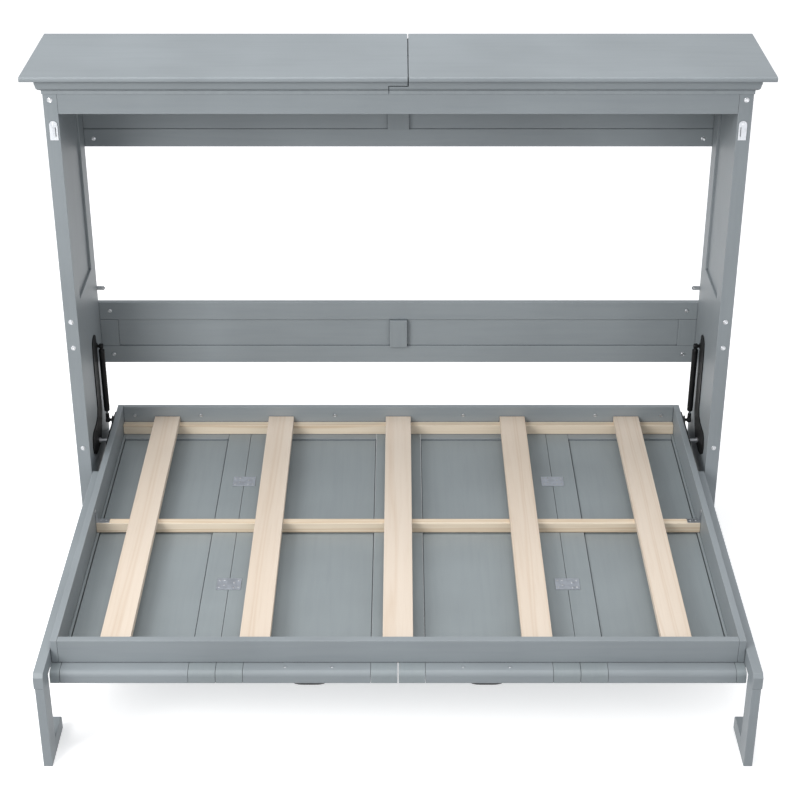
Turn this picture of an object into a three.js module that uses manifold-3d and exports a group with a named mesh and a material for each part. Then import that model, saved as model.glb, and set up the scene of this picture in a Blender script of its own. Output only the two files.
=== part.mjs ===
// Horizontal (side-tilting) murphy wall bed for a full-size mattress.
// Units are millimetres, +Z is up, -Y is the front.
// Shown lowered: bed frame down, feet on the floor.
import * as THREE from 'three';
import { mergeVertices } from 'three/addons/utils/BufferGeometryUtils.js';
import Module from 'manifold-3d';

const wasm = await Module();
wasm.setup();

// ---------------------------------------------------------------- dimensions
const GAP = 0.3;                 // clearance kept between touching pieces

// cabinet
const SIDE_IN = 1028, SIDE_OUT = 1071;       // side panel inner and outer face
const SIDE_BACK = 387;                       // rear edge of the side panels
const WALL_Y = 407;                          // wall plane behind the cabinet
const TOP_Z = 1693, TOP_T = 15.5;            // cornice board top and thickness
const TOP_HALF = 1130, TOP_FRONT = -40;      // cornice board overhang
const TOP_SPLIT = 30, CROWN_SPLIT = -28;     // joints of the two halves
const TOP_JOINT = 1.6, CROWN_JOINT = 1.3;    // half the width of those joints
const TONGUE = 17.5, STEP_GAP = 2.6;         // lap of the left crown over the right one, and the joint under it
const CROWN_Z = 1629;                        // lower edge of the crown moulding
const FASCIA_Z = 1565.5, FASCIA_T = 20;
const RECESS = 8, REC_Y0 = 73.5, REC_Y1 = 310.5, REC_Z0 = 915, REC_Z1 = 1545;
const REAR_RAIL_Z0 = 1319.5, REAR_RAIL_Z1 = 1380;
const MID_Z0 = 526, MID_Z1 = 589.7, MID_Z2 = 691.5, MID_Z3 = 756;

// bed frame
const RAIL_IN = 972.7, RAIL_OUT = 992.7;     // side rails
const RAIL_TOP = 350;
const FRONT_Y0 = -1014, FRONT_Y1 = -992;     // front rail
const REAR_Y0 = 384, REAR_Y1 = 402.2;        // rear rail
const DOOR_Z0 = 235, DOOR_Z1 = 256, NOSE_Z = 275;
const DOOR_FRONT = -1062.4;
const STILE = 77.5, SEAM = 521, DOOR_OUT = 1021, PANEL_OUT = 964.7;
const SLAT_TOP = 313.5, SLAT_T = 22, SLAT_W = 88.5;
const SLAT_X = [-817.5, -414.3, -0.5, 402.7, 805.4];
const MID_GAP = 1.8;                         // half the gap between the two middle leaves
const BEAM_T = 28;
const CUP_P = 3.8;                           // fullness of the cup pulls

// leg frames
const LEG_IN = 993.2, ARM_OUT = 1022, LEG_OUT = 1019;
const ARM_Z0 = 275.2, ARM_Z1 = 323.6, ARM_REAR = -17.1;
const LEG_Y0 = -1140, LEG_Y1 = -1070.5, FOOT_Y1 = -963.6, FOOT_H = 48.4;

// pivots
const PIV = [164.3, 340.7];                  // bed pivot, y and z
const STRUT_UP = [276, 645];                 // upper ball joint of the gas strut
const STRUT_LO = [281, 356];                 // lower ball joint of the gas strut
const PLATE_T = 3;
const STRUT_X = 1011, TUBE_R = 10, ROD_R = 4;
const TUBE_0 = 14, TUBE_1 = 252, ROD_0 = 80, BORE_0 = 60;

// ---------------------------------------------------------------- materials
const mat = (hex, rough, metal = 0) =>
  new THREE.MeshStandardMaterial({ color: hex, roughness: rough, metalness: metal });
const PAINT = mat(0x969ca1, 0.5);
const PAINT_TOP = mat(0xa3a8ac, 0.5);
const SLATWOOD = mat(0xe6d6c3, 0.6);
const BEAMWOOD = mat(0xdcc6a8, 0.6);
const SILVER = mat(0xc9ccd0, 0.3, 1);
const BLACK = mat(0x1c1d1f, 0.45, 0.3);

// ---------------------------------------------------------------- helpers
const group = new THREE.Group();

function clean(geo) {
  const g = geo.clone();
  for (const a of Object.keys(g.attributes)) if (a !== 'position') g.deleteAttribute(a);
  return mergeVertices(g, 1e-4);
}
function solid(geo) {
  const g = clean(geo);
  return new wasm.Manifold(new wasm.Mesh({
    numProp: 3,
    vertProperties: new Float32Array(g.attributes.position.array),
    triVerts: new Uint32Array(g.index.array),
  }));
}
function toGeo(man) {
  const m = man.getMesh();
  const g = new THREE.BufferGeometry();
  const p = new Float32Array((m.vertProperties.length / m.numProp) * 3);
  for (let i = 0; i < p.length / 3; i++)
    for (let k = 0; k < 3; k++) p[3 * i + k] = m.vertProperties[m.numProp * i + k];
  g.setAttribute('position', new THREE.BufferAttribute(p, 3));
  g.setIndex(new THREE.BufferAttribute(new Uint32Array(m.triVerts), 1));
  g.computeVertexNormals();
  return g;
}
// closed outline swept along x, y or z between two positions
// outline points are (y,z) for x, (x,z) for y and (x,y) for z
function prism(axis, pts, a0, a1) {
  const uv = axis === 'y' ? pts.map(([x, z]) => [z, x]) : pts;
  const shape = new THREE.Shape(uv.map(([u, v]) => new THREE.Vector2(u, v)));
  const lo = Math.min(a0, a1), hi = Math.max(a0, a1);
  const g = new THREE.ExtrudeGeometry(shape, { depth: hi - lo, bevelEnabled: false, steps: 1 });
  g.translate(0, 0, lo);
  const p = g.attributes.position;
  for (let i = 0; i < p.count; i++) {
    const u = p.getX(i), v = p.getY(i), w = p.getZ(i);
    if (axis === 'x') p.setXYZ(i, w, u, v);
    else if (axis === 'y') p.setXYZ(i, v, w, u);
  }
  return clean(g);
}
const box = (x0, x1, y0, y1, z0, z1) =>
  prism('x', [[y0, z0], [y1, z0], [y1, z1], [y0, z1]], x0, x1);
const disc = (cu, cv, r, n = 24) =>
  Array.from({ length: n }, (_, i) => [cu + r * Math.cos(2 * Math.PI * i / n), cv + r * Math.sin(2 * Math.PI * i / n)]);
function add(name, geo, material) {
  const g = geo instanceof THREE.BufferGeometry ? geo : toGeo(geo);
  const m = new THREE.Mesh(g, material);
  m.name = name;
  group.add(m);
  return m;
}
// rounded corner of an outline: arc from angle a0 to a1 (degrees)
const arc = (cu, cv, r, a0, a1, n = 5) =>
  Array.from({ length: n + 1 }, (_, i) => {
    const a = (a0 + (a1 - a0) * i / n) * Math.PI / 180;
    return [cu + r * Math.cos(a), cv + r * Math.sin(a)];
  });
const SIDES = [['left', -1], ['right', 1]];

// ---------------------------------------------------------------- cabinet
for (const [n, s] of SIDES) {
  // side panel, with a shallow framed field on both faces
  let side = solid(box(s * SIDE_IN, s * SIDE_OUT, 0, SIDE_BACK, 0, TOP_Z - TOP_T - GAP));
  side = side.subtract(solid(box(s * (SIDE_IN - 5), s * (SIDE_IN + RECESS), REC_Y0, REC_Y1, REC_Z0, REC_Z1)));
  side = side.subtract(solid(box(s * (SIDE_OUT - RECESS), s * (SIDE_OUT + 5), REC_Y0, REC_Y1, REC_Z0, REC_Z1)));
  side = side.subtract(solid(box(s * (SIDE_OUT - RECESS), s * (SIDE_OUT + 5), REC_Y0, REC_Y1, 120, 840)));
  add('side_panel_' + n, side, PAINT);
}

// cornice board in two halves, rounded front edge
const boardOutline = [
  [WALL_Y, TOP_Z - TOP_T], [WALL_Y, TOP_Z],
  ...arc(TOP_FRONT + 6, TOP_Z - 6, 6, 90, 180, 4),
  ...arc(TOP_FRONT + 4, TOP_Z - TOP_T + 4, 4, 180, 270, 3),
];
add('top_board_left', prism('x', boardOutline, -TOP_HALF, TOP_SPLIT - TOP_JOINT), PAINT_TOP);
add('top_board_right', prism('x', boardOutline, TOP_SPLIT + TOP_JOINT, TOP_HALF), PAINT_TOP);

// crown moulding: distance out from the cabinet face against height
const CZ = TOP_Z - TOP_T - GAP;
const crownProfile = [
  [GAP, CZ], [19, CZ], [19, CZ - 12], [17, CZ - 17], [16.5, CZ - 22],
  [14.6, CZ - 28], [11, CZ - 32], [6.5, CZ - 34.5], [4.5, CZ - 35],
  [2.5, CZ - 37], [2.5, CROWN_Z], [GAP, CROWN_Z],
];
// front run: ends follow the mitre on the outer corner
function crownFront(x0, x1, mitre0, mitre1) {
  const g = prism('x', crownProfile.map(([d, z]) => [-d, z]), 0, 1);
  const p = g.attributes.position;
  for (let i = 0; i < p.count; i++) {
    const d = -p.getY(i);
    const a = mitre0 ? -(SIDE_OUT + d) + GAP / 2 : x0;
    const b = mitre1 ? SIDE_OUT + d - GAP / 2 : x1;
    p.setX(i, p.getX(i) < 0.5 ? a : b);
  }
  return g;
}
// the left half laps over the right one between the two joints
add('crown_front_left', solid(crownFront(0, CROWN_SPLIT - CROWN_JOINT, true, false))
  .add(solid(crownFront(CROWN_SPLIT - CROWN_JOINT - 5, TOP_SPLIT - TOP_JOINT, false, false))
    .intersect(solid(box(CROWN_SPLIT - 10, TOP_SPLIT, -30, 5, CZ - TONGUE, CZ + 5)))), PAINT);
add('crown_front_right', solid(crownFront(CROWN_SPLIT + CROWN_JOINT, 0, false, true))
  .subtract(solid(box(CROWN_SPLIT - 5, TOP_SPLIT + TOP_JOINT, -30, 5, CZ - TONGUE - STEP_GAP, CZ + 5))), PAINT);
for (const [n, s] of SIDES) {
  const g = prism('y', crownProfile.map(([d, z]) => [s * (SIDE_OUT + d), z]), 0, 1);
  const p = g.attributes.position;
  for (let i = 0; i < p.count; i++) {
    const d = Math.abs(p.getX(i)) - SIDE_OUT;
    p.setY(i, p.getY(i) < 0.5 ? -d + GAP / 2 + 0.1 : SIDE_BACK);
  }
  add('crown_side_' + n, g, PAINT);
}

add('fascia', box(-SIDE_IN + GAP, SIDE_IN - GAP, 0, FASCIA_T, FASCIA_Z, CZ), PAINT);

// rear boards, fixed behind the side panels
const BY0 = SIDE_BACK + GAP, BY1 = WALL_Y;
add('top_rear_rail', box(-SIDE_OUT, SIDE_OUT, BY0, BY1, REAR_RAIL_Z0, REAR_RAIL_Z1), PAINT);
add('top_rear_panel', box(-SIDE_OUT, SIDE_OUT, BY0 + 3, BY1, REAR_RAIL_Z1 + GAP, CZ), PAINT);
add('top_rear_batten', box(-35, 35, BY0 - 12, BY0 + 3 - GAP, REAR_RAIL_Z1 + GAP, FASCIA_Z + 60), PAINT);
add('mid_back_lower_rail', box(-SIDE_OUT, SIDE_OUT, BY0, BY1, MID_Z0, MID_Z1), PAINT);
add('mid_back_panel', box(-SIDE_OUT, SIDE_OUT, BY0 + 6, BY1 - 3, MID_Z1 + GAP, MID_Z2 - GAP), PAINT);
add('mid_back_upper_rail', box(-SIDE_OUT, SIDE_OUT, BY0, BY1, MID_Z2, MID_Z3), PAINT);
add('mid_back_batten', box(-30, 30, BY0 - 12, BY0 + 6 - GAP, MID_Z1 + GAP, MID_Z2 - GAP), PAINT);

for (const [n, s] of SIDES) {
  // wall fixing tab with a screw hole
  let tab = solid(prism('y', [[s * 1052, 803], [s * 1052, 817.5], [s * 1006, 817.5], [s * 1001, 813], [s * 1001, 807.5], [s * 1006, 803]], BY0, BY0 + 2));
  tab = tab.subtract(solid(prism('y', disc(s * 1009.5, 810.3, 3, 16), BY0 - 5, BY0 + 10)));
  tab = tab.subtract(solid(prism('y', disc(s * 1044, 810.3, 2.2, 12), BY0 - 5, BY0 + 10)));
  add('wall_tab_' + n, tab, SILVER);

  // latch plate with its raised spring tongue on the front edge of the side panel
  const cx = s * 1046, z0 = 1483, z1 = 1544.5;
  let latch = solid(prism('y', [[cx - 12.5, z0], [cx + 12.5, z0], ...arc(cx, z1 - 12.5, 12.5, 0, 180, 10)], -2.3, -GAP));
  const tg = [[-5.0, z0 + 8], [-2.2, z0 + 8], [-2.2, z1 - 16], [-5.0, z1 - 20], [-5.0, z0 + 8]].slice(0, 4);
  latch = latch.add(solid(prism('x', tg.map(([y, z]) => [y, z]), cx - 4.5, cx + 4.5)));
  latch = latch.subtract(solid(box(cx - s * 6 - 1.1, cx - s * 6 + 1.1, -6, 1, z0 + 12, z1 - 20)));
  latch = latch.subtract(solid(prism('y', disc(cx, z1 - 9, 2.6, 14), -8, 2)));
  add('latch_plate_' + n, latch, SILVER);
}

// pivot hardware in the gap between the side panel and the bed frame
const K0 = SIDE_IN - GAP - PLATE_T, K1 = SIDE_IN - GAP;
const hingeOutline = [
  [197, 650], [203, 690], [222, 702], [246, 702], [266, 690], [270, 668], [270, 402],
  [240, 352], [205, 318], [140, 314], [100, 322], [62, 346], [56, 372], [66, 404], [84, 414],
  [150, 414], [182, 424], [197, 446],
];
for (const [n, s] of SIDES) {
  let p = solid(prism('x', hingeOutline, s * K0, s * K1));
  p = p.subtract(solid(prism('x', disc(PIV[0], PIV[1], 6.3), s * (K0 - 5), s * (K1 + 5))));
  p = p.add(solid(prism('x', disc(STRUT_UP[0] - 14, STRUT_UP[1], 14), s * K0, s * K1)));
  p = p.add(solid(prism('x', disc(STRUT_UP[0], STRUT_UP[1], 5.5, 16), s * (STRUT_X + 7.4), s * (K0 + 1))));
  p = p.add(solid(prism('x', disc(STRUT_UP[0], STRUT_UP[1], 11, 20), s * K0, s * K1)));
  add('hinge_plate_' + n, p, BLACK);

  let pin = solid(prism('x', disc(PIV[0], PIV[1], 6), s * (RAIL_OUT + GAP + 0.2), s * K1));
  pin = pin.add(solid(prism('x', disc(PIV[0], PIV[1], 9), s * (K0 - 6), s * (K0 - GAP))));
  add('pivot_pin_' + n, pin, SILVER);

  // plate screwed to the outer face of the side rail
  const B0 = RAIL_OUT + GAP, B1 = B0 + PLATE_T;
  let b = solid(prism('x', [
    [112, 300], [120, 345], [132, 352], [262, 352], [268, 366], [281, 372], [294, 366], [300, 352],
    [352, 349], [360, 342], [360, 292], [350, 284], [124, 284],
  ], s * B0, s * B1));
  b = b.subtract(solid(prism('x', disc(PIV[0], PIV[1], 6.3), s * (B0 - 5), s * (B1 + 5))));
  b = b.add(solid(prism('x', disc(STRUT_LO[0], STRUT_LO[1], 5, 16), s * (B1 - 1), s * (STRUT_X - 7.6))));
  add('bed_plate_' + n, b, BLACK);
}

// ---------------------------------------------------------------- bed frame
const UNDER = DOOR_Z1 + GAP;                 // pieces that stand on the door frames
for (const [n, s] of SIDES) {
  add('side_rail_' + n, prism('x', [
    [FRONT_Y0, NOSE_Z + GAP], [FRONT_Y1 + 0.6, NOSE_Z + GAP], [FRONT_Y1 + 0.6, UNDER],
    [REAR_Y1, UNDER], [REAR_Y1, RAIL_TOP], [FRONT_Y0, RAIL_TOP],
  ], s * RAIL_IN, s * RAIL_OUT), PAINT);
}
add('front_rail', box(-RAIL_IN + GAP, RAIL_IN - GAP, FRONT_Y0, FRONT_Y1, NOSE_Z + GAP, RAIL_TOP), PAINT);
add('rear_rail', box(-RAIL_IN + GAP, RAIL_IN - GAP, REAR_Y0, REAR_Y1, UNDER, RAIL_TOP), PAINT);

const BEAM_TOP = SLAT_TOP - SLAT_T - GAP;
const MID_Y = -278;
add('rear_beam', box(-RAIL_IN + GAP, RAIL_IN - GAP, REAR_Y0 - GAP - BEAM_T, REAR_Y0 - GAP, UNDER, BEAM_TOP), BEAMWOOD);
add('middle_beam', box(-RAIL_IN + GAP, RAIL_IN - GAP, MID_Y - BEAM_T / 2, MID_Y + BEAM_T / 2, UNDER, BEAM_TOP), BEAMWOOD);
add('front_beam', box(-RAIL_IN + GAP, RAIL_IN - GAP, FRONT_Y1 + GAP + 0.6, FRONT_Y1 + GAP + BEAM_T, UNDER, BEAM_TOP), BEAMWOOD);
SLAT_X.forEach((x, i) => {
  add('slat_' + (i + 1), box(x - SLAT_W / 2, x + SLAT_W / 2, FRONT_Y1 + GAP, REAR_Y0 - GAP, SLAT_TOP - SLAT_T, SLAT_TOP), SLATWOOD);
});

// framed panels that close the underside and show as doors when the bed is up
const doorOutline = [
  [REAR_Y1, DOOR_Z0], [REAR_Y1, DOOR_Z1], [FRONT_Y1, DOOR_Z1], [FRONT_Y1, NOSE_Z],
  ...arc(DOOR_FRONT + 15, NOSE_Z - 15, 15, 90, 180, 6),
  ...arc(DOOR_FRONT + 6, DOOR_Z0 + 6, 6, 180, 270, 4),
];
const P_Y0 = FRONT_Y1 + 7, P_Y1 = REAR_Y1 - STILE;
function door(name, x0, x1, px0, px1, notch) {
  let d = solid(prism('x', doorOutline, x0, x1));
  d = d.subtract(solid(box(px0, px1, P_Y0, P_Y1, DOOR_Z1 - 6, DOOR_Z1 + 5)));
  d = d.subtract(solid(box(px0, px1, P_Y0, P_Y1, DOOR_Z0 - 5, DOOR_Z0 + 6)));
  if (notch) // room for the leg frame to slide back
    d = d.subtract(solid(box(notch * (RAIL_OUT - 0.1), notch * (DOOR_OUT + 5), DOOR_FRONT - 5, LEG_Y1 + 86.5, DOOR_Z0 - 5, NOSE_Z + 5)));
  add(name, d, PAINT);
}
door('door_outer_left', -DOOR_OUT, -SEAM - 0.6, -PANEL_OUT, -SEAM - STILE, -1);
door('door_inner_left', -SEAM + 0.6, -MID_GAP, -SEAM + STILE, -STILE, 0);
door('door_inner_right', MID_GAP, SEAM - 0.6, STILE, SEAM - STILE, 0);
door('door_outer_right', SEAM + 0.6, DOOR_OUT, SEAM + STILE, PANEL_OUT, 1);

// half-round cup pulls under the front edge
for (const [n, s] of SIDES) {
  const cx = s * 254, cy = -1016, zt = DOOR_Z0 - GAP;
  const ell = (rx, ry, rz) => {
    const g = new THREE.SphereGeometry(1, 32, 20);
    g.rotateX(Math.PI / 2);
    const p = g.attributes.position;          // fuller towards the two ends
    for (let i = 0; i < p.count; i++) {
      const x = p.getX(i), y = p.getY(i), z = p.getZ(i);
      const r = Math.pow(Math.pow(y * y + z * z, CUP_P / 2) + Math.pow(Math.abs(x), CUP_P), 1 / CUP_P);
      p.setXYZ(i, x / r, y / r, z / r);
    }
    g.scale(rx, ry, rz);
    g.translate(cx, cy, zt);
    return solid(g);
  };
  let c = ell(56, 38, 25).subtract(ell(53, 35, 22));
  c = c.intersect(solid(box(cx - 60, cx + 60, cy - 60, cy, zt - 40, zt)));
  add('cup_pull_' + n, c, BLACK);

  // angle bracket between the middle beam and the side rail
  const x1 = RAIL_IN - GAP - 0.1;
  let a = solid(prism('y', [
    [s * x1, BEAM_TOP + GAP], [s * x1, SLAT_TOP + 10], [s * (x1 - 1.8), SLAT_TOP + 10],
    [s * (x1 - 1.8), BEAM_TOP + GAP + 1.8], [s * (x1 - 42), BEAM_TOP + GAP + 1.8], [s * (x1 - 42), BEAM_TOP + GAP],
  ], MID_Y - 12, MID_Y + 12));
  add('beam_bracket_' + n, a, SILVER);

  for (const [m, y] of [['front', -588], ['rear', 28]])
    add('mending_plate_' + m + '_' + n, prism('z', [
      [s * SEAM - 37.5, y - 29], [s * SEAM - 36.5, y - 30], [s * SEAM + 36.5, y - 30], [s * SEAM + 37.5, y - 29],
      [s * SEAM + 37.5, y + 29], [s * SEAM + 36.5, y + 30], [s * SEAM - 36.5, y + 30], [s * SEAM - 37.5, y + 29],
    ], UNDER, UNDER + 1.6), SILVER);
}

// ---------------------------------------------------------------- leg frames
for (const [n, s] of SIDES) {
  add('leg_arm_' + n, prism('x', [
    [ARM_REAR, ARM_Z0], [ARM_REAR, ARM_Z1], [LEG_Y0 + 11, ARM_Z1], [LEG_Y0, ARM_Z1 - 11], [LEG_Y0, ARM_Z0],
  ], s * LEG_IN, s * ARM_OUT), PAINT);
  add('leg_post_' + n, prism('x', [
    [LEG_Y0, 0], [LEG_Y1, 0], [LEG_Y1, ARM_Z0 - GAP], [LEG_Y0, ARM_Z0 - GAP],
  ], s * LEG_IN, s * LEG_OUT), PAINT);
  add('leg_foot_' + n, prism('x', [
    [LEG_Y1 + GAP, 0], [FOOT_Y1 - 3, 0], [FOOT_Y1, 3], ...arc(FOOT_Y1 - 14, FOOT_H - 14, 14, 0, 90, 6), [LEG_Y1 + GAP, FOOT_H],
  ], s * LEG_IN, s * LEG_OUT), PAINT);
}

// ---------------------------------------------------------------- gas struts
const dy = STRUT_LO[0] - STRUT_UP[0], dz = STRUT_LO[1] - STRUT_UP[1];
const LEN = Math.hypot(dy, dz);
const lean = new THREE.Matrix4().makeTranslation(0, STRUT_UP[0], STRUT_UP[1])
  .multiply(new THREE.Matrix4().makeRotationX(Math.atan2(dy, -dz)));
const lathe = (x, r, s0, s1, n = 24) => solid(prism('z', disc(x, 0, r, n), -s1, -s0));
for (const [n, s] of SIDES) {
  const x = s * STRUT_X;
  const eye = (at) => solid(prism('x', disc(0, -at, 9, 20), x - 7, x + 7));
  let tube = lathe(x, TUBE_R, TUBE_0, TUBE_1).add(lathe(x, 6, 4, TUBE_0 + 1, 16)).add(eye(0));
  tube = tube.subtract(lathe(x, ROD_R + 0.6, BORE_0, TUBE_1 + 5, 16));
  const rod = lathe(x, ROD_R, ROD_0, LEN - 5, 16).add(eye(LEN));
  const gt = toGeo(tube); gt.applyMatrix4(lean); gt.computeVertexNormals();
  const gr = toGeo(rod); gr.applyMatrix4(lean); gr.computeVertexNormals();
  add('strut_tube_' + n, gt, BLACK);
  add('strut_rod_' + n, gr, SILVER);
}

// origin on the floor under the middle of the whole bed
group.position.y = -(LEG_Y0 + WALL_Y) / 2;
export default group;
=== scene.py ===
import bpy
import bmesh
import math
from mathutils import Matrix, Vector


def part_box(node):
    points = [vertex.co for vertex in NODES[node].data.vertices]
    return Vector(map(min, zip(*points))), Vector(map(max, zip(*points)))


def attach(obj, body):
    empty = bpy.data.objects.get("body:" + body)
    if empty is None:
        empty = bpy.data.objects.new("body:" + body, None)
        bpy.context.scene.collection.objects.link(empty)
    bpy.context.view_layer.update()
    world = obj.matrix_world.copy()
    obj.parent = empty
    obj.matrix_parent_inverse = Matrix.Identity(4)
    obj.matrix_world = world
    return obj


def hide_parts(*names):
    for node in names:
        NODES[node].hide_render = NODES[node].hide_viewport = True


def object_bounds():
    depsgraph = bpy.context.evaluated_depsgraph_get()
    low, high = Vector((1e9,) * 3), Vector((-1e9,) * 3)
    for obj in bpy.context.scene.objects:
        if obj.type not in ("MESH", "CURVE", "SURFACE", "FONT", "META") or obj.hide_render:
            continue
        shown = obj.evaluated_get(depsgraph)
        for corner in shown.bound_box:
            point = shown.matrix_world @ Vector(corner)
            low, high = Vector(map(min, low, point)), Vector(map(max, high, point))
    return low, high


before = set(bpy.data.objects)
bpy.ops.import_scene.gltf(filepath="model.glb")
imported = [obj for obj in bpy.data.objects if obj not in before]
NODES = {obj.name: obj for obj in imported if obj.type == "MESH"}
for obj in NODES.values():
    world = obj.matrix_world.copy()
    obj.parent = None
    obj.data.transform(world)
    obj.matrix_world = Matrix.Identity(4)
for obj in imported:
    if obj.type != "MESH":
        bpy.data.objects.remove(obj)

CAD_LO, CAD_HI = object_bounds()
MM = 0.001
OY = CAD_LO.y + 1.140            # row-frame y of the cabinet's front plane
SIDES = (("left", -1), ("right", 1))


def P(x, y, z):
    """Part millimetres (y from the cabinet's front plane) to row-frame metres."""
    return Vector((x * MM, y * MM + OY, z * MM))


# ------------------------------------------------------------------ camera
cam_data = bpy.data.cameras.new("camera")
cam = bpy.data.objects.new("camera", cam_data)
bpy.context.scene.collection.objects.link(cam)
cam.location = (0.00554, -4.8307, 3.3738)
cam.rotation_euler = (math.radians(61.7784), 0.0, 0.0)
cam_data.lens = 80.867
cam_data.sensor_width = 36.0
cam_data.clip_start, cam_data.clip_end = 0.05, 200.0
bpy.context.scene.camera = cam


# ------------------------------------------------------------------ node helpers
def srgb(r, g, b):
    def f(c):
        c /= 255.0
        return c / 12.92 if c <= 0.04045 else ((c + 0.055) / 1.055) ** 2.4
    return (f(r), f(g), f(b), 1.0)


class Tree:
    def __init__(self, name):
        self.mat = bpy.data.materials.new(name)
        self.mat.use_nodes = True
        self.nt = self.mat.node_tree
        self.nt.nodes.clear()
        self.out = self.node("ShaderNodeOutputMaterial")
        self.bsdf = self.node("ShaderNodeBsdfPrincipled")
        self.link(self.bsdf.outputs["BSDF"], self.out.inputs["Surface"])
        self.tc = self.node("ShaderNodeTexCoord")

    def node(self, kind, **kw):
        n = self.nt.nodes.new(kind)
        for k, v in kw.items():
            setattr(n, k, v)
        return n

    def link(self, a, b):
        self.nt.links.new(a, b)

    def mapping(self, scale, loc=(0, 0, 0), rot=(0, 0, 0)):
        m = self.node("ShaderNodeMapping")
        self.link(self.tc.outputs["Object"], m.inputs["Vector"])
        m.inputs["Scale"].default_value = scale
        m.inputs["Location"].default_value = loc
        m.inputs["Rotation"].default_value = rot
        return m.outputs["Vector"]

    def noise(self, vec, scale, detail=4.0, rough=0.55, distortion=0.0):
        n = self.node("ShaderNodeTexNoise")
        self.link(vec, n.inputs["Vector"])
        n.inputs["Scale"].default_value = scale
        n.inputs["Detail"].default_value = detail
        n.inputs["Roughness"].default_value = rough
        n.inputs["Distortion"].default_value = distortion
        return n.outputs["Fac"]

    def ramp(self, fac, stops, interp="LINEAR"):
        r = self.node("ShaderNodeValToRGB")
        r.color_ramp.interpolation = interp
        e = r.color_ramp.elements
        while len(e) < len(stops):
            e.new(0.5)
        for el, (pos, col) in zip(e, stops):
            el.position = pos
            el.color = col if len(col) == 4 else (*col, 1.0)
        self.link(fac, r.inputs["Fac"])
        return r.outputs["Color"]

    def math(self, op, a, b=None, clamp=False):
        m = self.node("ShaderNodeMath", operation=op, use_clamp=clamp)
        for i, v in enumerate((a, b)):
            if v is None:
                continue
            if isinstance(v, (int, float)):
                m.inputs[i].default_value = v
            else:
                self.link(v, m.inputs[i])
        return m.outputs[0]

    def mix(self, fac, a, b, blend="MIX"):
        m = self.node("ShaderNodeMix", data_type="RGBA", blend_type=blend)
        for i, v in ((0, fac), (6, a), (7, b)):
            if isinstance(v, (int, float)):
                m.inputs[i].default_value = v
            elif isinstance(v, tuple):
                m.inputs[i].default_value = v
            else:
                self.link(v, m.inputs[i])
        return m.outputs[2]

    def edge(self, distance, lo=0.0, hi=0.45):
        """1 along the convex edges, 0 on the flats."""
        ao = self.node("ShaderNodeAmbientOcclusion", inside=True, only_local=True, samples=4)
        ao.inputs["Distance"].default_value = distance
        inv = self.math("SUBTRACT", 1.0, ao.outputs["AO"])
        r = self.node("ShaderNodeMapRange")
        self.link(inv, r.inputs["Value"])
        r.inputs["From Min"].default_value = lo
        r.inputs["From Max"].default_value = hi
        return r.outputs["Result"]

    def painted_crevice_shade(self, distance, low, lo=0.25, hi=0.80):
        """Multiplier that paints shade into narrow joints and inner corners, from ambient occlusion."""
        ao = self.node("ShaderNodeAmbientOcclusion", inside=False, only_local=False, samples=4)
        ao.inputs["Distance"].default_value = distance
        return self.ramp(ao.outputs["AO"], [(lo, low), (hi, (1, 1, 1))])

    def bump(self, height, strength, distance, chain=None):
        b = self.node("ShaderNodeBump")
        b.inputs["Strength"].default_value = strength
        b.inputs["Distance"].default_value = distance
        self.link(height, b.inputs["Height"])
        if chain is not None:
            self.link(chain, b.inputs["Normal"])
        return b.outputs["Normal"]


AXIS_SCALE = {"x": (0.06, 1.0, 1.0), "y": (1.0, 0.06, 1.0), "z": (1.0, 1.0, 0.06)}


def paint_material(name, axis, base, light, seed):
    """Satin grey paint over wood: faint grain telegraphing along the board, slow tone drift, rubbed edges, painted
    shade in joints and inner corners.
    """
    t = Tree(name)
    loc = (seed * 1.37, seed * 2.11, seed * 0.73)
    grain = t.noise(t.mapping(AXIS_SCALE[axis], loc), 55.0, 6.0, 0.6, 0.4)
    cloud = t.noise(t.mapping((1, 1, 1), loc), 2.3, 3.0, 0.5)
    fine = t.noise(t.mapping((1, 1, 1), loc), 900.0, 2.0, 0.5)
    dark = tuple(c * 0.93 for c in base[:3]) + (1.0,)
    lite = tuple(min(1, c * 1.07) for c in base[:3]) + (1.0,)
    col = t.ramp(cloud, [(0.32, dark), (0.50, base), (0.68, lite)])
    streak = t.ramp(grain, [(0.36, (0.92, 0.93, 0.935)), (0.50, (1, 1, 1)), (0.66, (1.04, 1.04, 1.035))])
    col = t.mix(0.40, col, streak, "MULTIPLY")
    wear = t.edge(0.0035)
    scuff = t.math("MULTIPLY", wear, t.ramp(t.noise(t.mapping((1, 1, 1), loc), 45.0, 4.0, 0.6), [(0.30, (0, 0, 0)), (0.60, (1, 1, 1))]))
    col = t.mix(t.math("MULTIPLY", scuff, 0.16), col, light)
    # painted shade: ambient occlusion darkens the paint colour in joints and inner corners
    col = t.mix(1.0, col, t.painted_crevice_shade(0.006, (0.30, 0.31, 0.33)), "MULTIPLY")
    t.link(col, t.bsdf.inputs["Base Color"])
    rough = t.math("ADD", t.math("MULTIPLY", cloud, 0.14), 0.37)
    rough = t.math("ADD", rough, t.math("MULTIPLY", fine, 0.06))
    t.link(rough, t.bsdf.inputs["Roughness"])
    n = t.bump(grain, 0.10, 0.0012)
    n = t.bump(fine, 0.10, 0.0003, n)
    t.link(n, t.bsdf.inputs["Normal"])
    t.bsdf.inputs["Specular IOR Level"].default_value = 0.42
    return t.mat


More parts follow.
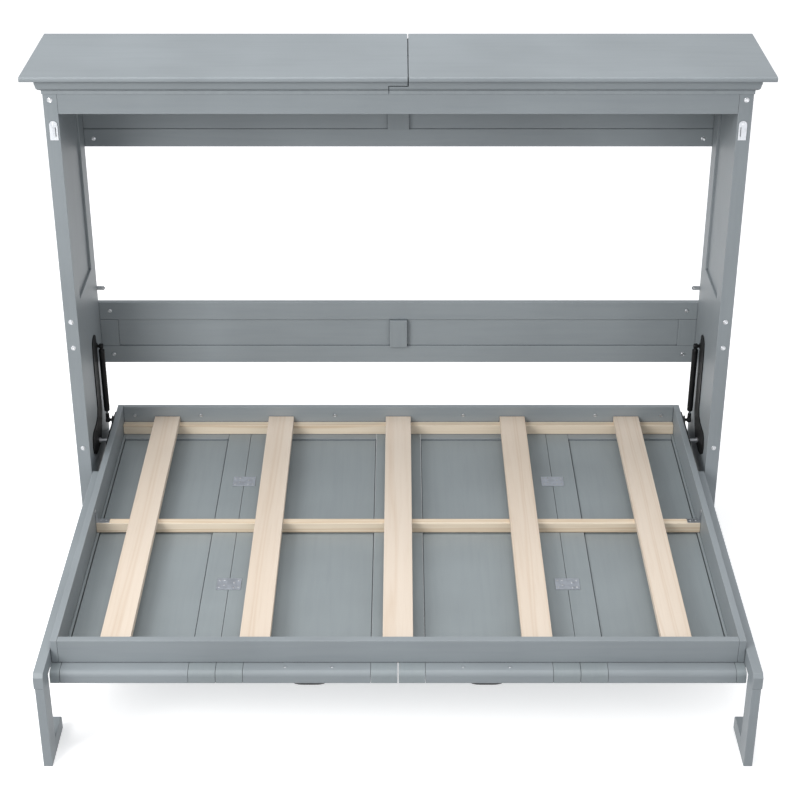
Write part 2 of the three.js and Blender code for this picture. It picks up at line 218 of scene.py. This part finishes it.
def wood_material(name, axis, pale, mid, deep, seed, ring=9.0, contrast=0.5, lines_amount=0.4):
    """Planed softwood: long grain lines, annual rings seen on the flat, pores and a few darker streaks."""
    t = Tree(name)
    loc = (seed * 0.91, seed * 1.73, seed * 0.37)
    stretch = {"x": (0.035, 1.0, 1.0), "y": (1.0, 0.035, 1.0)}[axis]
    vec = t.mapping(stretch, loc)
    warp = t.noise(vec, 7.0, 3.0, 0.5, 0.3)
    lines = t.noise(vec, 95.0, 8.0, 0.65, 0.6)
    pores = t.noise(t.mapping({"x": (0.02, 1, 1), "y": (1, 0.02, 1)}[axis], loc), 520.0, 3.0, 0.6)
    wave = t.node("ShaderNodeTexWave", wave_type="RINGS", rings_direction={"x": "X", "y": "Y"}[axis])
    t.link(t.mapping({"x": (0.05, 1.0, 1.0), "y": (1.0, 0.05, 1.0)}[axis], (seed * 0.013, seed * 0.029, 0.11)), wave.inputs["Vector"])
    wave.inputs["Scale"].default_value = ring
    wave.inputs["Distortion"].default_value = 5.0
    wave.inputs["Detail"].default_value = 3.0
    wave.inputs["Detail Scale"].default_value = 1.2
    rings = wave.outputs["Fac"]
    col = t.ramp(warp, [(0.30, mid), (0.62, pale)])
    ringcol = t.ramp(rings, [(0.0, (1.02, 1.015, 1.01)), (0.62, (1, 1, 1)), (0.92, deep[:3]), (1.0, (0.97, 0.95, 0.93))])
    col = t.mix(contrast, col, ringcol, "MULTIPLY")
    linecol = t.ramp(lines, [(0.34, (0.86, 0.80, 0.73)), (0.50, (1, 1, 1)), (0.70, (1.04, 1.035, 1.03))])
    col = t.mix(lines_amount, col, linecol, "MULTIPLY")
    porecol = t.ramp(pores, [(0.28, (0.78, 0.70, 0.62)), (0.38, (1, 1, 1))])
    col = t.mix(0.18, col, porecol, "MULTIPLY")
    wear = t.edge(0.0025)
    col = t.mix(t.math("MULTIPLY", wear, 0.18), col, (1.0, 0.93, 0.84, 1.0))
    t.link(col, t.bsdf.inputs["Base Color"])
    rough = t.math("ADD", t.math("MULTIPLY", lines, 0.20), 0.50)
    t.link(rough, t.bsdf.inputs["Roughness"])
    n = t.bump(lines, 0.22, 0.0008)
    n = t.bump(pores, 0.20, 0.0004, n)
    t.link(n, t.bsdf.inputs["Normal"])
    t.bsdf.inputs["Specular IOR Level"].default_value = 0.30
    return t.mat


def metal_material(name, base, rough_lo, rough_hi, brushed, seed):
    """Bright zinc plate: rolled streaks, slight spangle, dull handling marks."""
    t = Tree(name)
    loc = (seed, seed * 0.5, seed * 0.2)
    spangle = t.node("ShaderNodeTexVoronoi", feature="F1")
    t.link(t.mapping((1, 1, 1), loc), spangle.inputs["Vector"])
    spangle.inputs["Scale"].default_value = 260.0
    streak = t.noise(t.mapping((1.0, 1.0, 0.08) if brushed else (1, 1, 1), loc), 340.0, 3.0, 0.6)
    cloud = t.noise(t.mapping((1, 1, 1), loc), 38.0, 4.0, 0.6)
    dark = tuple(c * 0.80 for c in base[:3]) + (1.0,)
    col = t.ramp(cloud, [(0.30, dark), (0.58, base)])
    col = t.mix(0.16, col, t.ramp(spangle.outputs["Color"], [(0.0, (0.75, 0.78, 0.82)), (1.0, (1, 1, 1))]), "MULTIPLY")
    wear = t.edge(0.0012)
    col = t.mix(t.math("MULTIPLY", wear, 0.35), col, (0.88, 0.89, 0.90, 1.0))
    t.link(col, t.bsdf.inputs["Base Color"])
    t.bsdf.inputs["Metallic"].default_value = 1.0
    r = t.node("ShaderNodeMapRange")
    t.link(cloud, r.inputs["Value"])
    r.inputs["From Min"].default_value, r.inputs["From Max"].default_value = 0.25, 0.75
    r.inputs["To Min"].default_value, r.inputs["To Max"].default_value = rough_lo, rough_hi
    t.link(r.outputs["Result"], t.bsdf.inputs["Roughness"])
    t.link(t.bump(streak, 0.12, 0.0002), t.bsdf.inputs["Normal"])
    return t.mat


def black_material(name, base, bare, rough_lo, rough_hi, grain, seed):
    """Black coat on steel: fine texture, greyed rubbed edges, dusty tone drift."""
    t = Tree(name)
    loc = (seed, seed * 0.7, seed * 0.4)
    cloud = t.noise(t.mapping((1, 1, 1), loc), 24.0, 4.0, 0.6)
    fine = t.noise(t.mapping((1, 1, 1), loc), grain, 2.0, 0.5)
    lite = tuple(c * 1.9 + 0.004 for c in base[:3]) + (1.0,)
    col = t.ramp(cloud, [(0.35, base), (0.70, lite)])
    wear = t.edge(0.0012)
    scuff = t.math("MULTIPLY", wear, t.ramp(t.noise(t.mapping((1, 1, 1), loc), 130.0, 3.0, 0.6), [(0.42, (0, 0, 0)), (0.62, (1, 1, 1))]))
    col = t.mix(t.math("MULTIPLY", scuff, 0.55), col, bare)
    t.link(col, t.bsdf.inputs["Base Color"])
    r = t.node("ShaderNodeMapRange")
    t.link(cloud, r.inputs["Value"])
    r.inputs["From Min"].default_value, r.inputs["From Max"].default_value = 0.25, 0.75
    r.inputs["To Min"].default_value, r.inputs["To Max"].default_value = rough_lo, rough_hi
    t.link(r.outputs["Result"], t.bsdf.inputs["Roughness"])
    t.link(t.bump(fine, 0.25, 0.0003), t.bsdf.inputs["Normal"])
    t.bsdf.inputs["Specular IOR Level"].default_value = 0.28
    return t.mat


GREY = srgb(147, 154, 158)
GREY_LIGHT = srgb(186, 192, 194)
PAINT = {a: paint_material("paint_" + a, a, GREY, GREY_LIGHT, i + 1.0) for i, a in enumerate("xyz")}
PANEL = paint_material("paint_panel", "y", srgb(147, 155, 158), GREY_LIGHT, 7.0)
SLAT = [wood_material("slat_wood_%d" % i, "y", srgb(231, 217, 201), srgb(224, 208, 190), srgb(232, 217, 200), 3.1 * i + 1.0, 5.0 + i, 0.30, 0.24) for i in range(5)]
BEAM = [wood_material("beam_wood_%d" % i, "x", srgb(240, 226, 205), srgb(230, 213, 190), srgb(226, 206, 180), 5.3 * i + 2.0, 9.0, 0.5, 0.42) for i in range(3)]
ZINC = metal_material("zinc_steel", srgb(205, 208, 212), 0.24, 0.42, True, 2.0)
BOLT = metal_material("zinc_bolt", srgb(216, 218, 221), 0.24, 0.38, False, 4.0)
MEND = metal_material("zinc_mending", srgb(218, 223, 231), 0.34, 0.50, True, 2.0)
CHROME = metal_material("strut_rod_steel", srgb(196, 199, 203), 0.08, 0.18, False, 6.0)
BLACK = black_material("black_steel", srgb(15, 16, 18), srgb(95, 97, 100), 0.38, 0.55, 1400.0, 3.0)
PLATE = black_material("black_plate", srgb(7, 8, 9), srgb(60, 62, 64), 0.46, 0.62, 1400.0, 4.0)
PULLM = black_material("black_pull", srgb(31, 31, 32), srgb(112, 108, 102), 0.38, 0.55, 1900.0, 5.0)


# ------------------------------------------------------------------ mesh helpers
def set_material(o, m):
    o.data.materials.clear()
    o.data.materials.append(m)


def smooth(o):
    for p in o.data.polygons:
        p.use_smooth = True


def round_edges(o, width, segments=2, angle=28.0, weld=False):
    if weld:
        w = o.modifiers.new("weld", "WELD")
        w.merge_threshold = 2e-6
        d = o.modifiers.new("flat", "DECIMATE")
        d.decimate_type = "DISSOLVE"
        d.angle_limit = math.radians(0.6)
    b = o.modifiers.new("round", "BEVEL")
    b.width = width
    b.segments = segments
    b.limit_method = "ANGLE"
    b.angle_limit = math.radians(angle)
    b.use_clamp_overlap = True
    b.harden_normals = False
    n = o.modifiers.new("normals", "WEIGHTED_NORMAL")
    n.weight = 80
    n.keep_sharp = False


def piece(name, bm, material, body, replaced=(), bevel=0.0, segments=2, angle=28.0, smoothed=True):
    bmesh.ops.remove_doubles(bm, verts=bm.verts, dist=1e-6)
    bmesh.ops.recalc_face_normals(bm, faces=bm.faces)
    me = bpy.data.meshes.new(name)
    bm.to_mesh(me)
    bm.free()
    o = bpy.data.objects.new(name, me)
    bpy.context.scene.collection.objects.link(o)
    set_material(o, material)
    if smoothed:
        smooth(o)
    if bevel:
        round_edges(o, bevel, segments, angle)
    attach(o, body)
    if replaced:
        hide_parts(*replaced)
    return o


def prism(axis, pts, a0, a1, bm=None):
    """Closed outline swept along an axis. Outline is (y,z) for x, (x,z) for y, (x,y) for z, part millimetres."""
    bm = bm or bmesh.new()
    rows = []
    for a in (a0, a1):
        row = []
        for u, v in pts:
            c = {"x": (a, u, v), "y": (u, a, v), "z": (u, v, a)}[axis]
            row.append(bm.verts.new(P(*c)))
        rows.append(row)
    n = len(pts)
    bm.faces.new(rows[0])
    bm.faces.new(rows[1])
    for i in range(n):
        j = (i + 1) % n
        bm.faces.new((rows[0][i], rows[0][j], rows[1][j], rows[1][i]))
    return bm


def block(x0, x1, y0, y1, z0, z1, bm=None):
    return prism("x", [(y0, z0), (y1, z0), (y1, z1), (y0, z1)], x0, x1, bm)


def arc(cu, cv, r, a0, a1, n=6):
    return [(cu + r * math.cos(math.radians(a0 + (a1 - a0) * i / n)), cv + r * math.sin(math.radians(a0 + (a1 - a0) * i / n))) for i in range(n + 1)]


def lathe(profile, origin, direction, segments=32, bm=None):
    """Profile of (radius, height) from axis to axis, turned round a line through origin."""
    bm = bm or bmesh.new()
    d = Vector(direction).normalized()
    q = d.to_track_quat("Z", "Y")
    rings = []
    for r, h in profile:
        if r < 1e-9:
            rings.append([bm.verts.new(origin + q @ Vector((0, 0, h)))])
        else:
            rings.append([bm.verts.new(origin + q @ Vector((r * math.cos(2 * math.pi * i / segments), r * math.sin(2 * math.pi * i / segments), h))) for i in range(segments)])
    for a, b in zip(rings, rings[1:]):
        for i in range(segments):
            j = (i + 1) % segments
            if len(a) == 1 and len(b) == 1:
                continue
            if len(a) == 1:
                bm.faces.new((a[0], b[i], b[j]))
            elif len(b) == 1:
                bm.faces.new((a[i], a[j], b[0]))
            else:
                bm.faces.new((a[i], a[j], b[j], b[i]))
    return bm


def bolt_head(name, at, direction, body, r=6.5, h=2.4, socket=3.0, material=None):
    """Domed cap of a furniture bolt with a hexagonal socket, in a thin cup washer."""
    bm = bmesh.new()
    d = Vector(direction).normalized()
    q = d.to_track_quat("Z", "Y")
    seg = 36
    rings = []
    w = r * 1.24
    prof = [(w, 0.0), (w, 0.22 * h), (w * 0.97, 0.34 * h), (w * 0.92, 0.34 * h), (r * 1.04, 0.10 * h), (r, 0.10 * h), (r, 0.45 * h),
            (r * 0.97, 0.62 * h), (r * 0.86, 0.82 * h), (r * 0.68, 0.95 * h), (socket * 1.25, h)]
    for rr, hh in prof:
        rings.append([bm.verts.new(at + q @ Vector((rr * MM * math.cos(2 * math.pi * i / seg), rr * MM * math.sin(2 * math.pi * i / seg), hh * MM))) for i in range(seg)])

    def hexr(i, radius):
        a = 2 * math.pi * i / seg
        k = (a % (math.pi / 3)) - math.pi / 6
        return radius * math.cos(math.pi / 6) / math.cos(k)
    for depth, rad in ((h * 0.97, socket), (h * 0.30, socket * 0.97)):
        rings.append([bm.verts.new(at + q @ Vector((hexr(i, rad) * MM * math.cos(2 * math.pi * i / seg), hexr(i, rad) * MM * math.sin(2 * math.pi * i / seg), depth * MM))) for i in range(seg)])
    for a, b in zip(rings, rings[1:]):
        for i in range(seg):
            j = (i + 1) % seg
            bm.faces.new((a[i], a[j], b[j], b[i]))
    bm.faces.new(rings[0])
    bm.faces.new(rings[-1])
    o = piece(name, bm, material or BOLT, body, smoothed=True)
    n = o.modifiers.new("normals", "WEIGHTED_NORMAL")
    n.weight = 60
    return o


def screw_head(name, at, direction, body, r=3.6, h=1.0, material=None, turn=0.3):
    """Pan head with a cross recess."""
    bm = bmesh.new()
    d = Vector(direction).normalized()
    q = d.to_track_quat("Z", "Y")
    seg = 32
    rings = []
    for rr, hh in [(r, 0.0), (r, 0.30 * h), (r * 0.93, 0.66 * h), (r * 0.74, 0.93 * h), (r * 0.62, h)]:
        rings.append([bm.verts.new(at + q @ Vector((rr * MM * math.cos(2 * math.pi * i / seg), rr * MM * math.sin(2 * math.pi * i / seg), hh * MM))) for i in range(seg)])

    def cross(i, big, small):
        a = (2 * math.pi * i / seg + turn) % (math.pi / 2)
        a = min(a, math.pi / 2 - a)
        return big if a < math.pi / 8 else small
    for depth, big, small in ((h * 0.98, r * 0.55, r * 0.20), (h * 0.25, r * 0.48, r * 0.15)):
        rings.append([bm.verts.new(at + q @ Vector((cross(i, big, small) * MM * math.cos(2 * math.pi * i / seg), cross(i, big, small) * MM * math.sin(2 * math.pi * i / seg), depth * MM))) for i in range(seg)])
    for a, b in zip(rings, rings[1:]):
        for i in range(seg):
            j = (i + 1) % seg
            bm.faces.new((a[i], a[j], b[j], b[i]))
    bm.faces.new(rings[0])
    bm.faces.new(rings[-1])
    return piece(name, bm, material or BOLT, body, smoothed=False)


# ------------------------------------------------------------------ carried-over CAD nodes
LONG_X = {"fascia", "top_rear_rail", "top_rear_panel", "mid_back_lower_rail", "mid_back_panel", "mid_back_upper_rail",
          "top_board_left", "top_board_right", "crown_front_left", "crown_front_right", "front_rail", "rear_rail"}
LONG_Y = {"crown_side_left", "crown_side_right", "side_rail_left", "side_rail_right", "leg_arm_left", "leg_arm_right",
          "leg_foot_left", "leg_foot_right"}
LONG_Z = {"side_panel_left", "side_panel_right", "top_rear_batten", "mid_back_batten", "leg_post_left", "leg_post_right"}
SMALL_BEVEL = {"crown_front_left": 0.5, "crown_front_right": 0.5, "crown_side_left": 0.5, "crown_side_right": 0.5,
               "top_board_left": 0.8, "top_board_right": 0.8, "mid_back_panel": 0.5, "top_rear_panel": 0.6}
for name in sorted(LONG_X | LONG_Y | LONG_Z):
    o = NODES[name]
    axis = "x" if name in LONG_X else "y" if name in LONG_Y else "z"
    set_material(o, PAINT[axis])
    smooth(o)
    round_edges(o, SMALL_BEVEL.get(name, 1.3) * MM, 3 if name.startswith(("side_rail", "front_rail", "leg", "side_panel")) else 2, 24.0, weld=True)

for i in range(5):
    o = NODES["slat_%d" % (i + 1)]
    set_material(o, SLAT[i])
    smooth(o)
    round_edges(o, 1.8 * MM, 3, 28.0, weld=True)
for i, name in enumerate(("rear_beam", "middle_beam", "front_beam")):
    o = NODES[name]
    set_material(o, BEAM[i])
    smooth(o)
    round_edges(o, 1.6 * MM, 3, 28.0, weld=True)
for name in ("wall_tab_left", "wall_tab_right", "latch_plate_left", "latch_plate_right", "beam_bracket_left", "beam_bracket_right",
             "mending_plate_front_left", "mending_plate_front_right", "mending_plate_rear_left", "mending_plate_rear_right"):
    o = NODES[name]
    set_material(o, MEND if name.startswith("mending") else ZINC)
    smooth(o)
    round_edges(o, 0.35 * MM, 2, 35.0, weld=True)
for name in ("pivot_pin_left", "pivot_pin_right"):
    o = NODES[name]
    set_material(o, BOLT)
    smooth(o)
    round_edges(o, 0.6 * MM, 2, 35.0, weld=True)
for name in ("hinge_plate_left", "hinge_plate_right", "bed_plate_left", "bed_plate_right"):
    o = NODES[name]
    set_material(o, PLATE)
    smooth(o)
    round_edges(o, 0.5 * MM, 2, 40.0, weld=True)
for name in ("cup_pull_left", "cup_pull_right"):
    o = NODES[name]
    set_material(o, PULLM)
    smooth(o)
    round_edges(o, 0.7 * MM, 2, 40.0, weld=True)

# ------------------------------------------------------------------ door leaves, board by board
DOOR_FRONT, NOSE_Y1, NOSE_Z = -1062.4, -985.0, 275.0
DZ0, DZ1, REAR = 235.0, 256.0, 402.2
NOSE = [(-992.0, DZ1), (-992.0, NOSE_Z)] + arc(DOOR_FRONT + 15, NOSE_Z - 15, 15, 90, 180, 10) + arc(DOOR_FRONT + 6, DZ0 + 6, 6, 180, 270, 6)
STILE_OUT = [(REAR, DZ0), (REAR, DZ1)] + NOSE
NOSE_OUT = [(NOSE_Y1, DZ0), (NOSE_Y1, DZ1)] + NOSE
J = 0.9                           # joint line between two boards
GROOVE, GROOVE_D = 2.2, 4.0       # shadow groove round the panel's inner face


def panel(x0, x1, y0, y1):
    """Sunk panel with a step all round its upper face."""
    bm = bmesh.new()
    z0, zs, z1, g = DZ0 + 6, DZ1 - 6 - GROOVE_D, DZ1 - 6, GROOVE
    rings = []
    for z, i in ((z0, 0.0), (zs, 0.0), (zs, g), (z1, g)):
        rings.append([bm.verts.new(P(x, y, z)) for x, y in ((x0 + i, y0 + i), (x1 - i, y0 + i), (x1 - i, y1 - i), (x0 + i, y1 - i))])
    for a, b in zip(rings, rings[1:]):
        for k in range(4):
            m = (k + 1) % 4
            bm.faces.new((a[k], a[m], b[m], b[k]))
    bm.faces.new(rings[0])
    bm.faces.new(rings[-1])
    return bm


def door(name, x0, x1, px0, px1, notch=0):
    node = "door_" + name
    lo, hi = sorted((x0, x1))
    p0, p1 = sorted((px0, px1))
    made = []
    for tag, a, b in (("stile_a", lo, p0 - 0.0), ("stile_b", p1 + 0.0, hi)):
        outer = notch and ((notch < 0 and tag == "stile_a") or (notch > 0 and tag == "stile_b"))
        if outer:
            # the outer stile stops beside the leg post, so its nose is narrower than its run
            inner0, inner1 = (-992.6, b) if notch < 0 else (a, 992.6)
            bm = prism("x", STILE_OUT, inner0, inner1)
            rest0, rest1 = (a, -992.6) if notch < 0 else (992.6, b)
            bm2 = block(rest0, rest1, -984.0, REAR, DZ0, DZ1)
            made.append(piece(node + "_" + tag + "_edge", bm2, PANEL, "bed_frame", (), 0.5 * MM, 2))
        else:
            bm = prism("x", STILE_OUT, a, b)
        made.append(piece(node + "_" + tag, bm, PANEL, "bed_frame", (), 0.7 * MM, 2))
    made.append(piece(node + "_nose", prism("x", NOSE_OUT, p0 + J, p1 - J), PAINT["x"], "bed_frame", (), 0.7 * MM, 2))
    made.append(piece(node + "_rail", block(p0 + J, p1 - J, REAR - 77.5, REAR, DZ0, DZ1), PAINT["x"], "bed_frame", (), 0.7 * MM, 2))
    made.append(piece(node + "_panel", panel(p0 + J, p1 - J, NOSE_Y1 + J, REAR - 77.5 - J), PANEL, "bed_frame", (), 0.25 * MM, 2))
    # small bead that runs round the sunk panel on the outer face
    b = 5.0
    y0, y1 = NOSE_Y1, REAR - 77.5
    for k, (bx0, bx1, by0, by1, side) in enumerate((
            (p0, p0 + b, y0, y1, "x+"), (p1 - b, p1, y0, y1, "x-"), (p0 + b, p1 - b, y0, y0 + b, "y+"), (p0 + b, p1 - b, y1 - b, y1, "y-"))):
        z0, z1 = DZ0 + 1.0, DZ0 + 5.9
        if side[0] == "x":
            inner = bx1 if side == "x+" else bx0
            outer_ = bx0 if side == "x+" else bx1
            s = 1 if side == "x+" else -1
            o_ = outer_ + s * J
            prof = [(o_, z1), (o_, z0 + 0.4), (o_ + s * 1.4, z0), (o_ + s * 2.6, z0 + 1.4), (inner, z1 - 0.8), (inner, z1)]
            bm = prism("y", prof, by0 + J, by1 - J)
        else:
            s = 1 if side == "y+" else -1
            o_ = (by0 if s > 0 else by1) + s * J
            inner = by1 if s > 0 else by0
            prof = [(o_, z1), (o_, z0 + 0.4), (o_ + s * 1.4, z0), (o_ + s * 2.6, z0 + 1.4), (inner, z1 - 0.8), (inner, z1)]
            bm = prism("x", prof, bx0 - 0.4, bx1 + 0.4)
        made.append(piece("%s_bead_%d" % (node, k), bm, PAINT["x" if side[0] == "y" else "y"], "bed_frame", (), 0.0, smoothed=False))
    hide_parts(node)
    return made


door("outer_left", -1021, -521.6, -964.7, -598.5, -1)
door("inner_left", -520.4, -1.8, -443.5, -77.5)
door("inner_right", 1.8, 520.4, 77.5, 443.5)
door("outer_right", 521.6, 1021, 598.5, 964.7, 1)

# ------------------------------------------------------------------ end blocks of the lower back panel, flush with its rails
for n, s in SIDES:
    rail_lo, panel_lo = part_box("mid_back_lower_rail")[0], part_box("mid_back_panel")[0]
    zlo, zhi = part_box("mid_back_panel")[0].z / MM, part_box("mid_back_panel")[1].z / MM
    bm = block(s * 967.0, s * 1070.5, (rail_lo.y - OY) / MM + 0.1, (panel_lo.y - OY) / MM - 0.1, zlo + 0.5, zhi - 0.5)
    piece("mid_back_end_" + n, bm, PAINT["z"], "cabinet", (), 0.8 * MM, 2)

# ------------------------------------------------------------------ gas struts
UP, LO = (276.0, 645.0), (281.0, 356.0)
for n, s in SIDES:
    x = s * 1011.0
    top, low = P(x, *UP), P(x, *LO)
    axis = (low - top).normalized()
    L = (low - top).length
    # pressure tube with a rolled lower end and a crimped neck
    prof = [(0, 0.0070), (0.0055, 0.0075), (0.0060, 0.0090), (0.0060, 0.0128), (0.0088, 0.0138), (0.0096, 0.0148), (0.0100, 0.0165), (0.0100, 0.2380),
            (0.0097, 0.2395), (0.0093, 0.2402), (0.0093, 0.2418), (0.0098, 0.2428), (0.0098, 0.2490), (0.0090, 0.2512), (0.0078, 0.2520), (0.0048, 0.2520), (0.0047, 0.2300), (0, 0.2300)]
    bm = lathe(prof, top, axis, 40)
    eye = [(0, -0.0068), (0.0070, -0.0068), (0.0085, -0.0055), (0.0090, -0.0035), (0.0090, 0.0035), (0.0085, 0.0055), (0.0070, 0.0068), (0, 0.0068)]
    bm = lathe(eye, top, Vector((s, 0, 0)), 32, bm)
    tube = piece("strut_tube_body_" + n, bm, BLACK, "strut_tube_" + n, ("strut_tube_" + n,), smoothed=True)
    w = tube.modifiers.new("normals", "WEIGHTED_NORMAL"); w.weight = 60
    # chromed rod with its moulded lower socket
    bm = lathe([(0, 0.0800), (0.0038, 0.0800), (0.0040, 0.0804), (0.0040, L - 0.0220), (0.0039, L - 0.0215), (0, L - 0.0215)], top, axis, 28)
    rod = piece("strut_rod_shaft_" + n, bm, CHROME, "strut_rod_" + n, ("strut_rod_" + n,), smoothed=True)
    w = rod.modifiers.new("normals", "WEIGHTED_NORMAL"); w.weight = 60
    bm = lathe([(0, L - 0.0260), (0.0048, L - 0.0260), (0.0060, L - 0.0250), (0.0064, L - 0.0200), (0.0064, L - 0.0090), (0.0056, L - 0.0078), (0, L - 0.0076)], top, axis, 28)
    bm = lathe(eye, low, Vector((s, 0, 0)), 32, bm)
    sock = piece("strut_rod_socket_" + n, bm, BLACK, "strut_rod_" + n, (), smoothed=True)
    w = sock.modifiers.new("normals", "WEIGHTED_NORMAL"); w.weight = 60

# ------------------------------------------------------------------ bolts and screws
FRONT = Vector((0, -1, 0))
UPV = Vector((0, 0, 1))
for n, s in SIDES:
    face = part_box("side_panel_" + n)[0].y
    for k, z in enumerate((1610.0, 868.0, 775.0, 403.0)):
        p = P(s * 1050, 0, z); p.y = face
        bolt_head("post_bolt_%s_%d" % (n, k + 1), p, FRONT, "cabinet")
    for tag, node, x, z in (("top_rail", "top_rear_rail", 997.0, 1347.0), ("mid_upper", "mid_back_upper_rail", 991.0, 724.0), ("mid_lower", "mid_back_lower_rail", 989.0, 558.0)):
        p = P(s * x, 0, z); p.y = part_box(node)[0].y
        bolt_head("rear_bolt_%s_%s" % (tag, n), p, FRONT, "cabinet", r=5.6, h=2.2, socket=2.6)
    p = P(s * 1009.5, 0, 810.3); p.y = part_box("wall_tab_" + n)[0].y
    screw_head("tab_screw_" + n, p, FRONT, "cabinet", r=4.2, h=1.4)
    p = P(s * 1046, 0, 1535.5); p.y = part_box("side_panel_" + n)[0].y - 2.3 * MM
    screw_head("latch_screw_" + n, p, FRONT, "cabinet", r=4.0, h=1.3)
    # side rail to middle beam
    edge = s * 972.7
    bolt_head("rail_bolt_" + n, P(edge, -282, 331.0), Vector((-s, 0, 0)), "bed_frame", r=4.4, h=1.8, socket=2.2)
    for k, xo in enumerate((14.0, 31.0)):
        screw_head("bracket_screw_%s_%d" % (n, k + 1), P(s * (972.3 - xo), -278, 293.6), UPV, "bed_frame", r=3.4, h=1.0)
    for m, y in (("front", -588.0), ("rear", 28.0)):
        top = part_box("mending_plate_%s_%s" % (m, n))[1].z
        for k, (dx, dy) in enumerate(((-29, -18), (-29, 18), (-15, -6), (-15, 20), (15, -20), (15, 6), (29, -18), (29, 18))):
            p = P(s * 521 + dx, y + dy, 0); p.z = top
            screw_head("plate_screw_%s_%s_%d" % (m, n, k + 1), p, UPV, "bed_frame", r=3.3, h=1.0, turn=0.2 * k)
    # black screws that hold the pivot plates
    hx = s * 1024.7
    for k, (y, z) in enumerate(((84, 372), (132, 394), (100, 340), (232, 388), (232, 470), (232, 560), (232, 610), (248, 684))):
        screw_head("hinge_screw_%s_%d" % (n, k + 1), P(hx, y, z), Vector((-s, 0, 0)), "cabinet", r=4.2, h=1.2, material=BLACK, turn=0.4 * k)
    bx = s * 996.3
    for k, (y, z) in enumerate(((136, 300), (200, 300), (250, 332), (256, 300), (318, 330), (344, 300))):
        screw_head("bed_plate_screw_%s_%d" % (n, k + 1), P(bx, y, z), Vector((s, 0, 0)), "bed_frame", r=4.2, h=1.2, material=BLACK, turn=0.4 * k)
rear_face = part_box("rear_rail")[0].y
for k, x in enumerate((-933.0, -699.0, -225.0, 229.0, 696.0, 930.0)):
    p = P(x, 0, 317.0); p.y = rear_face
    bolt_head("rear_rail_bolt_%d" % (k + 1), p, FRONT, "bed_frame", r=5.0, h=2.0, socket=2.4)
for k, x in enumerate((-323.0, -189.0, 185.5, 320.0)):
    screw_head("pull_screw_%d" % (k + 1), P(x, -1036.0, 275.0), UPV, "bed_frame", r=4.0, h=1.2, turn=0.5 * k)

# ------------------------------------------------------------------ stage and light
def plane(name, size, z):
    bm = bmesh.new()
    v = [bm.verts.new((sx * size, sy * size, z)) for sx, sy in ((-1, -1), (1, -1), (1, 1), (-1, 1))]
    bm.faces.new(v)
    me = bpy.data.meshes.new(name)
    bm.to_mesh(me)
    bm.free()
    o = bpy.data.objects.new(name, me)
    bpy.context.scene.collection.objects.link(o)
    return o


floor = plane("floor", 60.0, -0.0006)
t = Tree("floor_white")
t.bsdf.inputs["Base Color"].default_value = (0.93, 0.93, 0.93, 1.0)
t.bsdf.inputs["Roughness"].default_value = 0.9
t.bsdf.inputs["Specular IOR Level"].default_value = 0.1
t.bsdf.inputs["Emission Color"].default_value = (1.0, 1.0, 1.0, 1.0)
t.bsdf.inputs["Emission Strength"].default_value = 0.52
set_material(floor, t.mat)
floor.visible_diffuse = False

world = bpy.data.worlds.new("studio")
bpy.context.scene.world = world
world.use_nodes = True
wt = world.node_tree
bg = wt.nodes.get("Background")
wc = wt.nodes.new("ShaderNodeTexCoord")
ws = wt.nodes.new("ShaderNodeSeparateXYZ")
wm = wt.nodes.new("ShaderNodeMapRange")
wm.inputs["From Min"].default_value, wm.inputs["From Max"].default_value = -1.0, 1.0
wr = wt.nodes.new("ShaderNodeValToRGB")
wr.color_ramp.elements[0].position, wr.color_ramp.elements[0].color = 0.30, (0.27, 0.28, 0.30, 1.0)
wr.color_ramp.elements[1].position, wr.color_ramp.elements[1].color = 0.62, (0.56, 0.565, 0.58, 1.0)
wt.links.new(wc.outputs["Generated"], ws.inputs["Vector"])
wt.links.new(ws.outputs["Z"], wm.inputs["Value"])
wt.links.new(wm.outputs["Result"], wr.inputs["Fac"])
wt.links.new(wr.outputs["Color"], bg.inputs["Color"])
bg.inputs["Strength"].default_value = 1.0


def area(name, loc, target, size, power, color=(1, 1, 1)):
    d = bpy.data.lights.new(name, "AREA")
    d.shape = "SQUARE"
    d.size = size
    d.energy = power
    d.color = color
    o = bpy.data.objects.new(name, d)
    bpy.context.scene.collection.objects.link(o)
    o.location = loc
    o.rotation_euler = (Vector(target) - Vector(loc)).to_track_quat("-Z", "Y").to_euler()
    return o


area("key", (-3.2, -3.6, 3.6), (0.3, 0.0, 0.5), 2.6, 185.0, (1.0, 0.995, 0.985))
area("fill", (3.0, -4.6, 2.2), (0.0, 0.0, 0.5), 3.0, 24.0, (0.98, 0.99, 1.0))
area("top", (0.0, 0.2, 5.2), (0.0, 0.0, 0.3), 3.2, 84.0)

bpy.context.scene.view_settings.view_transform = "Standard"
bpy.context.scene.view_settings.look = "None"
bpy.context.scene.view_settings.exposure = 0.0
